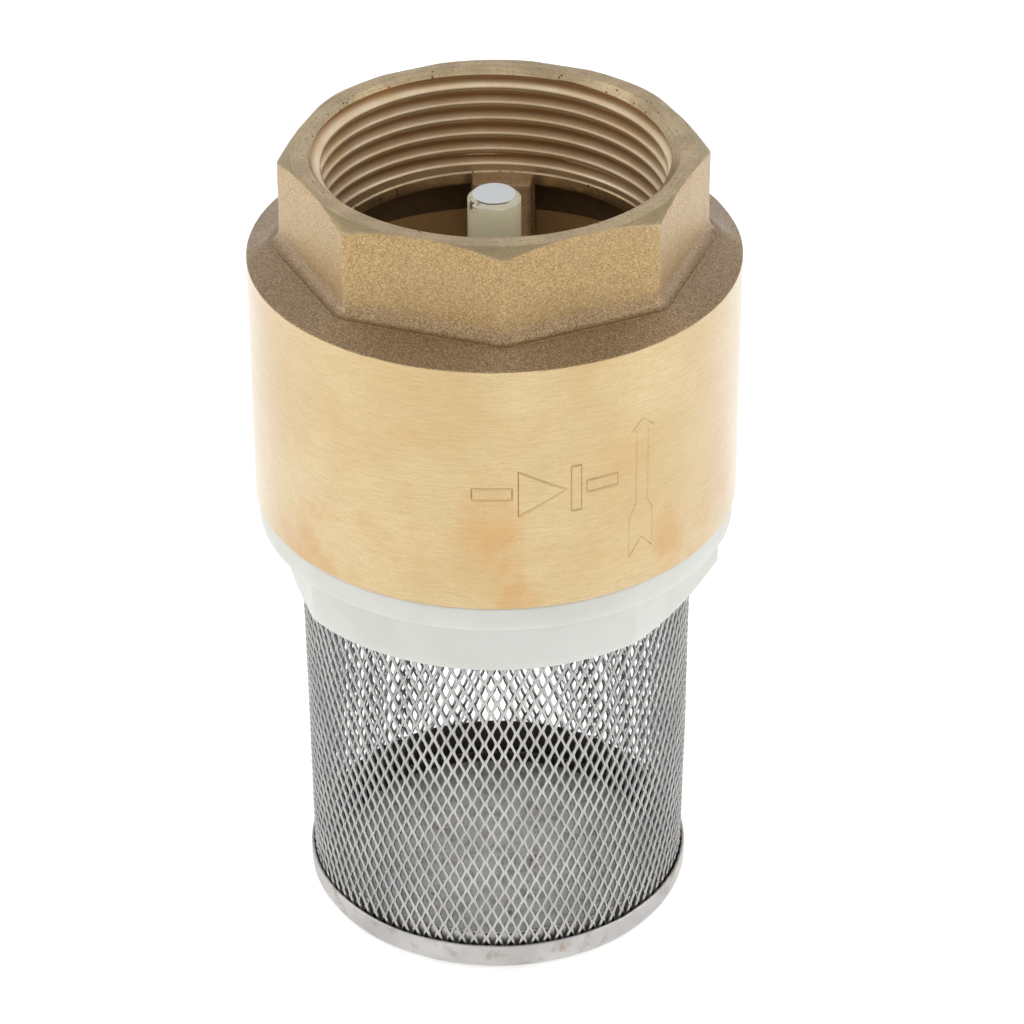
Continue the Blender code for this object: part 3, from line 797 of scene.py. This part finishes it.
class Finish:
    """A Principled material and short ways to add its nodes. Texture sizes are in object space, metres."""

    def __init__(self, name):
        self.material = bpy.data.materials.new(name)
        self.material.use_nodes = True
        self.tree = self.material.node_tree
        self.shader = self.tree.nodes["Principled BSDF"]
        self.place = self.node("ShaderNodeTexCoord").outputs["Object"]

    def node(self, kind, inputs=None, **settings):
        made = self.tree.nodes.new(kind)
        for key, value in settings.items():
            setattr(made, key, value)
        for key, value in (inputs or {}).items():
            self.feed(made.inputs[key], value)
        return made

    def feed(self, socket, value):
        if isinstance(value, bpy.types.NodeSocket):
            self.tree.links.new(value, socket)
        else:
            socket.default_value = value

    def stretch(self, scale, turn=(0.0, 0.0, 0.0)):
        made = self.node("ShaderNodeMapping", {"Vector": self.place, "Scale": scale, "Rotation": turn})
        return made.outputs["Vector"]

    def noise(self, size, detail=3.0, roughness=0.55, place=None, distortion=0.0):
        """Noise from 0 to 1; size is its largest feature in metres, or 1 on a stretched place."""
        made = self.node("ShaderNodeTexNoise", {
            "Vector": place or self.place, "Scale": 1.0 / size, "Detail": detail,
            "Roughness": roughness, "Distortion": distortion})
        return made.outputs["Fac"]

    def cells(self, size, output="Distance"):
        made = self.node("ShaderNodeTexVoronoi", {"Vector": self.place, "Scale": 1.0 / size})
        return made.outputs[output]

    def range(self, value, low, high, to_low=0.0, to_high=1.0):
        """A smooth step: to_low up to low, to_high from high on."""
        made = self.node("ShaderNodeMapRange", {
            "Value": value, "From Min": low, "From Max": high, "To Min": to_low, "To Max": to_high})
        made.interpolation_type = "SMOOTHSTEP"
        return made.outputs["Result"]

    def math(self, operation, a, b=0.5):
        return self.node("ShaderNodeMath", {0: a, 1: b}, operation=operation).outputs["Value"]

    def times(self, a, b):
        return self.math("MULTIPLY", a, b)

    def plus(self, a, b):
        return self.math("ADD", a, b)

    def mix(self, share, a, b):
        """Colour a where share is 0, and b where it is 1."""
        made = self.node("ShaderNodeMix", data_type="RGBA")
        self.feed(made.inputs["Factor"], share)
        self.feed(made.inputs[6], a)
        self.feed(made.inputs[7], b)
        return made.outputs[2]

    def vector(self, operation, a, b):
        return self.node("ShaderNodeVectorMath", {0: a, 1: b}, operation=operation).outputs

    def near(self, spot, full, none, strength=1.0, place=None):
        """Strength within a distance of full from a spot, falling to 0 at none."""
        away = self.vector("DISTANCE", place or self.place, spot)["Value"]
        return self.range(away, full, none, strength, 0.0)

    def axis(self, name):
        made = self.node("ShaderNodeSeparateXYZ", {0: self.place})
        return made.outputs[name]

    def from_axis(self):
        """Distance from the Z axis."""
        return self.length(self.axis("X"), self.axis("Y"))

    def length(self, a, b):
        return self.math("SQRT", self.plus(self.times(a, a), self.times(b, b)))

    def round_axis(self):
        """The direction of lines turned round Z."""
        return self.node("ShaderNodeTangent", direction_type="RADIAL", axis="Z").outputs["Tangent"]

    def bump(self, height, strength, distance):
        inputs = {"Height": height, "Strength": strength, "Distance": distance}
        return self.node("ShaderNodeBump", inputs).outputs["Normal"]

    def set(self, **inputs):
        for key, value in inputs.items():
            self.feed(self.shader.inputs[key.replace("_", " ")], value)
        return self.material


def rgb(r, g, b):
    """Colour from 8-bit sRGB values."""
    def linear(v):
        v /= 255.0
        return v / 12.92 if v <= 0.04045 else ((v + 0.055) / 1.055) ** 2.4
    return (linear(r), linear(g), linear(b), 1.0)


BARREL_LIGHT = rgb(211, 187, 139)
BARREL_DEEP = rgb(202, 175, 122)
BARREL_WARM = rgb(202, 154, 88)
BARREL_LINE = rgb(176, 146, 96)


def brass_turned():
    """Machined barrel: fine short lines round it, with warmer mottles near its bottom and front."""
    f = Finish("brass_turned")
    fine = f.noise(1.0, 3.0, 0.6, f.stretch((150.0, 150.0, 6000.0)))
    short = f.noise(1.0, 3.0, 0.7, f.stretch((520.0, 520.0, 9000.0), (0.02, -0.015, 0.0)))
    grain = f.noise(0.20 * MM, 2.0, 0.6)
    lines = f.plus(f.times(fine, 0.3), f.times(short, 0.7))
    cloud = f.range(f.noise(16.0 * MM, 2.0, 0.5), 0.35, 0.65)
    colour = f.mix(cloud, BARREL_LIGHT, BARREL_DEEP)
    low_part = f.range(f.axis("Z"), BARREL_BOTTOM, BARREL_TOP, 1.0, 0.3)
    mottle = f.range(f.noise(9.0 * MM, 3.0, 0.5), 0.50, 0.78)
    warm = f.times(mottle, low_part)
    squeeze = 0.25
    front = (1.8 * MM, -BARREL_R, squeeze * (BARREL_BOTTOM + 2.0 * MM))
    band = f.near(front, 0.8 * MM, 3.4 * MM, 0.8, f.stretch((1.0, 1.0, squeeze)))
    band = f.times(band, f.range(f.noise(3.0 * MM, 3.0), 0.30, 0.60, 0.3, 1.0))
    colour = f.mix(f.math("MAXIMUM", warm, band), colour, BARREL_WARM)
    colour = f.mix(f.range(lines, 0.40, 0.62, 0.0, 0.42), colour, BARREL_LINE)
    colour = f.mix(f.range(grain, 0.42, 0.72, 0.0, 0.35), colour, BARREL_LINE)
    pits = f.range(f.cells(1.7 * MM), 0.04, 0.07, 0.6, 0.0)
    colour = f.mix(f.times(pits, f.range(f.noise(9 * MM), 0.56, 0.64)), colour, rgb(140, 100, 56))
    return f.set(
        Base_Color=colour, Metallic=1.0, Roughness=f.range(lines, 0.3, 0.7, 0.28, 0.42),
        Anisotropic=0.4, Anisotropic_Rotation=0.25, Tangent=f.round_axis(),
        Coat_Weight=1.0, Coat_Roughness=0.28, Coat_IOR=1.6, Normal=f.bump(lines, 0.3, 0.015 * MM))


def brass_cast():
    """Sand-cast skin: a fine grain with a few painted glints, darker and browner from the fillet under the
    head down over the shoulder.
    """
    f = Finish("brass_cast")
    coarse = f.noise(0.55 * MM, 3.0, 0.6)
    speck = f.node("ShaderNodeSeparateColor", {0: f.cells(0.14 * MM, "Color")}).outputs[0]
    grain = f.plus(f.times(speck, 0.45), f.times(f.noise(0.20 * MM, 2.0, 0.6), 0.55))
    blotch = f.noise(5.0 * MM, 4.0, 0.6)
    colour = f.mix(f.range(grain, 0.25, 0.75), rgb(150, 120, 70), rgb(199, 167, 107))
    colour = f.mix(f.range(coarse, 0.35, 0.65, 0.0, 0.15), colour, rgb(158, 124, 74))
    colour = f.mix(f.range(blotch, 0.35, 0.7, 0.0, 0.30), colour, rgb(168, 142, 100))
    # Darker and browner from the fillet at the foot of the head down over the shoulder.
    low = f.range(f.axis("Z"), SHOULDER_TOP + 0.7 * MM, SHOULDER_TOP + 2.8 * MM, 1.0, 0.0)
    dark = f.mix(f.range(grain, 0.25, 0.75), rgb(118, 92, 58), rgb(170, 140, 98))
    colour = f.mix(f.times(low, 0.9), colour, dark)
    # Painted glints: the brightest few cells of the speck pattern are painted pale, as tiny highlights.
    colour = f.mix(f.range(speck, 0.955, 0.975, 0.0, 0.22), colour, rgb(236, 216, 176))
    pit = f.range(f.cells(2.6 * MM), 0.03, 0.07, 0.7, 0.0)
    colour = f.mix(pit, colour, rgb(72, 54, 38))
    height = f.plus(f.times(grain, 0.6), f.times(f.plus(blotch, coarse), 0.4))
    return f.set(
        Base_Color=colour, Metallic=0.85, Roughness=f.range(speck, 0.0, 1.0, 0.60, 0.46),
        Coat_Weight=0.85, Coat_Roughness=0.42, Coat_IOR=1.6, Normal=f.bump(height, 0.5, 0.08 * MM))


def brass_machined():
    """End face and chamber: cut surfaces with lines round the axis, porosity and light tarnish."""
    f = Finish("brass_machined")
    away = f.node("ShaderNodeCombineXYZ", {0: f.from_axis(), 2: f.axis("Z")}).outputs[0]
    round_lines = f.vector("MULTIPLY", away, (3200.0, 3200.0, 3200.0))[0]
    drift = f.vector("MULTIPLY", f.place, (120.0, 120.0, 120.0))[0]
    lines = f.noise(1.0, 3.0, 0.6, f.vector("ADD", round_lines, drift)[0])
    grain = f.noise(0.5 * MM, 3.0, 0.6)
    cloud = f.noise(4.5 * MM, 3.0, 0.55)
    colour = f.mix(f.range(cloud, 0.35, 0.65), rgb(206, 184, 148), rgb(186, 166, 133))
    colour = f.mix(f.range(grain, 0.45, 0.75, 0.0, 0.5), colour, rgb(150, 128, 96))
    colour = f.mix(f.range(lines, 0.45, 0.65, 0.0, 0.25), colour, rgb(140, 118, 86))
    bevel = f.times(f.range(f.axis("Z"), TOP - 0.03 * MM, TOP - 0.10 * MM),
                   f.range(f.from_axis(), RIM_FLAT_R - 0.1 * MM, RIM_FLAT_R))
    colour = f.mix(f.times(bevel, 0.6), colour, rgb(150, 134, 100))
    near_mouth = f.range(f.from_axis(), MOUTH_R + 0.1 * MM, MOUTH_R + 1.4 * MM, 1.0, 0.15)
    pits = f.range(f.cells(0.9 * MM), 0.12, 0.22, 1.0, 0.0)
    pits = f.times(pits, f.range(f.noise(3.0 * MM, 2.0), 0.42, 0.52))
    pits = f.times(pits, near_mouth)
    colour = f.mix(f.times(pits, 0.9), colour, rgb(62, 48, 40))
    low = f.range(f.axis("Z"), LAND_BOTTOM - 2.0 * MM, LAND_BOTTOM)
    colour = f.mix(low, rgb(222, 184, 124), colour)
    bumps = f.bump(f.math("SUBTRACT", f.times(lines, 0.5), pits), 0.35, 0.04 * MM)
    return f.set(
        Base_Color=colour, Metallic=f.plus(f.times(low, 0.55), 0.4),
        Roughness=f.math("SUBTRACT", f.range(grain, 0.3, 0.7, 0.50, 0.62), f.times(low, 0.22)),
        Anisotropic=0.6, Anisotropic_Rotation=0.25, Tangent=f.round_axis(), Normal=bumps)


def brass_thread():
    """Cut thread: pale on the flanks by the crests, with painted shade turning it brown down in the roots and
    a darker painted reflection on the flat of each crest.
    """
    f = Finish("brass_thread")
    grain = f.noise(0.3 * MM, 3.0, 0.6)
    cloud = f.noise(6.0 * MM, 3.0, 0.55)
    pale = f.mix(f.range(cloud, 0.35, 0.65), rgb(244, 224, 192), rgb(236, 210, 170))
    # Painted shade: the colour turns brown towards the roots, where the groove lies in shade.
    depth = f.range(f.from_axis(), THREAD_MINOR_R + 0.45 * MM, THREAD_MAJOR_R, 0.0, 1.0)
    colour = f.mix(depth, pale, rgb(174, 136, 92))
    # Painted reflection: the flat of each crest is darkened, as if it mirrored dark surroundings.
    crest_dark_reflection = f.range(f.from_axis(), THREAD_MINOR_R + 0.02 * MM, THREAD_MINOR_R + 0.16 * MM, 0.7, 0.0)
    colour = f.mix(crest_dark_reflection, colour, rgb(156, 130, 90))
    colour = f.mix(f.range(grain, 0.45, 0.75, 0.0, 0.25), colour, rgb(170, 142, 100))
    return f.set(
        Base_Color=colour, Metallic=0.65, Roughness=f.range(grain, 0.3, 0.7, 0.28, 0.36),
        Anisotropic=0.5, Anisotropic_Rotation=0.25, Tangent=f.round_axis(),
        Normal=f.bump(grain, 0.05, 0.02 * MM))


def brass_inside():
    """Casting left as it came inside: smooth and brown, with painted shade darkening it out past 24.2 mm, in
    the undercut under the land.
    """
    f = Finish("brass_inside")
    grain = f.noise(0.5 * MM, 3.0, 0.6)
    cloud = f.noise(5.0 * MM, 3.0, 0.55)
    colour = f.mix(f.range(cloud, 0.35, 0.65), rgb(188, 160, 122), rgb(206, 180, 142))
    colour = f.mix(f.range(grain, 0.4, 0.7, 0.0, 0.35), colour, rgb(132, 104, 76))
    # Painted shade: darker out from 24.2 mm, over the undercut under the land and the roots of the ribs and
    # plates.
    wall = f.range(f.from_axis(), 24.2 * MM, 25.4 * MM, 0.0, 0.75)
    colour = f.mix(wall, colour, rgb(96, 78, 60))
    return f.set(
        Base_Color=colour, Metallic=0.6, Roughness=f.range(grain, 0.3, 0.7, 0.36, 0.50),
        Normal=f.bump(grain, 0.2, 0.04 * MM))


def nylon(name, base, shade, depth):
    """Moulded nylon: milky, faintly cloudy, with a few stray specks. Returns its Finish and colour."""
    f = Finish(name)
    cloud = f.noise(11.0 * MM, 2.0)
    colour = f.mix(f.range(cloud, 0.35, 0.65), base, shade)
    speck = f.range(f.cells(4.5 * MM), 0.02, 0.035, 0.6, 0.0)
    colour = f.mix(speck, colour, rgb(150, 142, 128))
    fine = f.noise(0.5 * MM, 3.0)
    f.shader.subsurface_method = "RANDOM_WALK"
    f.set(
        Base_Color=colour, Roughness=f.range(fine, 0.3, 0.7, 0.36, 0.5), Subsurface_Weight=0.35,
        Subsurface_Radius=(1.0, 0.9, 0.75), Subsurface_Scale=depth,
        Normal=f.bump(fine, 0.12, 0.04 * MM), IOR=1.5)
    return f, colour


def collar_nylon():
    """White nylon of the collar."""
    f, colour = nylon("white_nylon", rgb(206, 206, 200), rgb(199, 200, 191), 2.0 * MM)
    return f.material


def stem_nylon():
    """Natural nylon of the poppet: brown dirt caught in the cut edge of the stem."""
    f, base = nylon("stem_nylon", rgb(250, 245, 216), rgb(246, 240, 208), 3.0 * MM)
    top = POPPET_HIGH.z
    height = f.axis("Z")
    cut = f.times(f.range(height, top - 0.75 * MM, top - 0.62 * MM), 0.8)
    base = f.mix(cut, base, rgb(206, 202, 182))
    base = f.mix(f.range(height, top - 0.07 * MM, top - 0.01 * MM), base, rgb(212, 216, 216))
    near = f.near((-2.7 * MM, -1.7 * MM, top - 0.5 * MM), 0.5 * MM, 1.7 * MM)
    dirt = f.range(f.noise(0.7 * MM, 4.0, 0.7), 0.46, 0.58)
    below = f.range(height, top - 0.02 * MM, top - 0.12 * MM)
    colour = f.mix(f.times(f.times(near, below), dirt), base, rgb(104, 70, 48))
    near = f.near((-0.2 * MM, -2.8 * MM, top), 1.6 * MM, 2.8 * MM)
    line = f.times(f.range(height, top - 0.22 * MM, top - 0.16 * MM), below)
    colour = f.mix(f.times(near, line), colour, rgb(84, 64, 48))
    return f.set(Base_Color=colour)


def steel_edge_and_inner_shade():
    """The strands' cut edges and inner side: darker and rougher than the sheet's face; on the cut edges the
    darker grey is their own, on the inner side it is painted shade.
    """
    f = Finish("mesh_edge_and_inner_shade")
    grain = f.noise(0.3 * MM, 3.0, 0.6)
    # Darker greys: the cut edges' own tone, and painted shade on the sleeve's inner side.
    colour = f.mix(f.range(grain, 0.35, 0.65), rgb(152, 152, 154), rgb(174, 173, 174))
    return f.set(Base_Color=colour, Metallic=0.95, Roughness=f.range(grain, 0.3, 0.7, 0.36, 0.5))


def steel_sheet():
    """Stainless expanded metal: satin, light grey, slightly warm."""
    f = Finish("mesh_steel")
    cloud = f.noise(6.0 * MM, 3.0)
    grain = f.noise(0.35 * MM, 3.0, 0.65)
    colour = f.mix(f.range(cloud, 0.35, 0.65), rgb(190, 188, 184), rgb(172, 170, 167))
    colour = f.mix(f.range(grain, 0.5, 0.75, 0.0, 0.4), colour, rgb(136, 132, 128))
    return f.set(
        Base_Color=colour, Metallic=0.95, Roughness=f.range(grain, 0.3, 0.7, 0.24, 0.36),
        Normal=f.bump(grain, 0.2, 0.02 * MM))


def steel_cap():
    """Pressed cap: satin steel with brown heat and handling mottles, stains on its floor, and painted shade
    near black on the upstand's inner face and the outer ring of the floor.
    """
    f = Finish("cap_steel")
    grain = f.noise(0.3 * MM, 3.0, 0.6)
    mottle = f.range(f.noise(2.6 * MM, 4.0, 0.6, distortion=0.3), 0.5, 0.72)
    wall = f.range(f.axis("Z"), CAP_LOW.z + 0.6 * MM, CAP_LOW.z + 1.6 * MM)
    colour = f.mix(f.range(f.noise(7.0 * MM, 3.0), 0.35, 0.65), rgb(198, 196, 193), rgb(182, 180, 178))
    colour = f.mix(f.times(f.times(mottle, wall), 0.7), colour, rgb(160, 144, 124))
    stain = f.range(f.noise(3.6 * MM, 4.0, 0.65), 0.62, 0.70, 0.0, 0.8)
    outward = f.math("MAXIMUM", f.math("SUBTRACT", f.from_axis(), CAP_HIGH.x - CAP_BEND_R), 0.0)
    downward = f.math("MAXIMUM", f.math("SUBTRACT", CAP_LOW.z + CAP_BEND_R, f.axis("Z")), 0.0)
    skin = CAP_BEND_R - CAP_WALL / 2
    inner = f.range(f.length(outward, downward), skin - 0.08 * MM, skin, 1.0, 0.0)
    floor = f.times(inner, f.range(f.axis("Z"), CAP_LOW.z + 1.2 * MM, CAP_LOW.z + 0.5 * MM))
    colour = f.mix(floor, colour, rgb(212, 211, 210))
    smear = f.range(f.noise(1.6 * MM, 3.0, 0.6), 0.45, 0.65)
    colour = f.mix(f.times(smear, floor), colour, rgb(176, 174, 171))
    colour = f.mix(f.times(stain, floor), colour, rgb(112, 98, 84))
    # Painted shade: the inner face of the upstand and the outer ring of the floor, where the sleeve and the
    # pan's bend shade them, are made near black.
    inside = f.range(f.from_axis(), UPSTAND_R + 0.13 * MM, UPSTAND_R + 0.21 * MM, 1.0, 0.0)
    band = f.times(inside, f.range(f.axis("Z"), CAP_LOW.z + 0.50 * MM, CAP_LOW.z + 1.0 * MM))
    edge = f.times(floor, f.range(f.from_axis(), CAP_HIGH.x - 3.7 * MM, CAP_HIGH.x - 3.1 * MM))
    colour = f.mix(f.times(f.math("MAXIMUM", band, edge), 0.9), colour, rgb(40, 34, 28))
    return f.set(
        Base_Color=colour, Metallic=f.math("SUBTRACT", 0.95, f.times(floor, 0.5)),
        Roughness=f.range(grain, 0.3, 0.7, 0.32, 0.48), Normal=f.bump(grain, 0.2, 0.02 * MM))


def rubber():
    """Matt black rubber with a faint bloom."""
    f = Finish("black_rubber")
    grain = f.noise(0.4 * MM, 4.0, 0.6)
    colour = f.mix(f.range(f.noise(6.0 * MM, 3.0), 0.4, 0.6), rgb(34, 33, 33), rgb(48, 47, 46))
    return f.set(
        Base_Color=colour, Roughness=f.range(grain, 0.3, 0.7, 0.55, 0.75),
        Normal=f.bump(grain, 0.2, 0.03 * MM))


def spring_wire():
    """Drawn stainless wire, bright with fine marks."""
    f = Finish("spring_steel")
    drawn = f.noise(0.25 * MM, 3.0, 0.6)
    colour = f.mix(f.range(f.noise(3.0 * MM), 0.4, 0.6), rgb(200, 198, 194), rgb(178, 176, 172))
    return f.set(
        Base_Color=colour, Metallic=1.0, Roughness=f.range(drawn, 0.3, 0.7, 0.2, 0.32),
        Normal=f.bump(drawn, 0.15, 0.02 * MM))


# -------- studio

def camera():
    """In front of the valve and 32.5 degrees above it, with a long lens."""
    elevation = math.radians(32.51)
    distance = 558.3 * MM
    target = Vector((0.0, 0.0, 54.5 * MM))
    back = Vector((0.0, -math.cos(elevation), math.sin(elevation)))
    data = bpy.data.cameras.new("camera")
    data.lens = 143.48
    data.sensor_width = 36.0
    data.shift_x = 0.01541
    data.shift_y = 0.0252
    data.clip_start = 0.05
    data.clip_end = 50.0
    made = link("camera", data)
    roll = Matrix.Rotation(math.radians(-0.33), 4, "Z")
    facing = (-back).to_track_quat("-Z", "Y").to_matrix().to_4x4()
    made.matrix_world = Matrix.Translation(target + back * distance) @ facing @ roll
    bpy.context.scene.camera = made


def soft_box(name, place, size, power):
    """A rectangular light that faces the middle of the valve."""
    data = bpy.data.lights.new(name, "AREA")
    data.shape = "RECTANGLE"
    data.size, data.size_y = size
    data.energy = power
    made = link(name, data)
    target = Vector((0.0, 0.0, 60.0 * MM))
    facing = (target - Vector(place)).to_track_quat("-Z", "Y").to_matrix().to_4x4()
    made.matrix_world = Matrix.Translation(place) @ facing


def floor():
    """A plain white sheet that the valve stands on."""
    f = Finish("floor")
    f.set(Base_Color=(0.9, 0.9, 0.9, 1.0), Roughness=0.9, Specular_IOR_Level=0.0,
          Emission_Color=(1.0, 1.0, 1.0, 1.0), Emission_Strength=0.45)
    size = 12.0
    points = [(x * size, y * size, -0.02 * MM) for x, y in ((-1, -1), (1, -1), (1, 1), (-1, 1))]
    mesh = bpy.data.meshes.new("floor")
    mesh.from_pydata(points, [], [(0, 1, 2, 3)])
    mesh.materials.append(f.material)
    link("floor", mesh)


def world():
    """Pale walls that darken towards the ceiling."""
    made = bpy.data.worlds.new("studio")
    bpy.context.scene.world = made
    made.use_nodes = True
    tree = made.node_tree
    background = tree.nodes["Background"]
    place = tree.nodes.new("ShaderNodeTexCoord")
    split = tree.nodes.new("ShaderNodeSeparateXYZ")
    ramp = tree.nodes.new("ShaderNodeValToRGB")
    tree.links.new(place.outputs["Generated"], split.inputs[0])
    tree.links.new(split.outputs["Z"], ramp.inputs[0])
    tree.links.new(ramp.outputs[0], background.inputs["Color"])
    ramp.color_ramp.elements[0].position = 0.0
    ramp.color_ramp.elements[0].color = (0.85, 0.86, 0.88, 1.0)
    ramp.color_ramp.elements[1].position = 0.6
    ramp.color_ramp.elements[1].color = (0.72, 0.72, 0.73, 1.0)


def studio():
    camera()
    floor()
    world()
    soft_box("left", (-0.55, -0.10, 0.30), (0.45, 0.5), 0.8)
    soft_box("right", (0.55, -0.10, 0.30), (0.45, 0.5), 0.8)
    soft_box("front", (0.0, -0.75, 0.55), (0.7, 0.4), 0.5)
    view = bpy.context.scene.view_settings
    view.view_transform = "Standard"
    view.look = "None"


def main():
    valve_body([brass_turned(), brass_cast(), brass_machined(), brass_inside(), brass_thread()])
    inlet_collar(collar_nylon())
    strainer_mesh(steel_sheet(), steel_edge_and_inner_shade())
    strainer_cap(steel_cap())
    natural = stem_nylon()
    poppet(natural)
    black = rubber()
    plain_ring("poppet_seal", "_rubber", SEAL_LOW, SEAL_HIGH, 0.2 * MM, black, "black_rubber")
    plain_ring("seal_retainer", "_nylon", RETAINER_LOW, RETAINER_HIGH, 0.5 * MM, natural, "natural_nylon")
    collar_o_ring(black)
    return_spring(spring_wire())
    studio()


main()
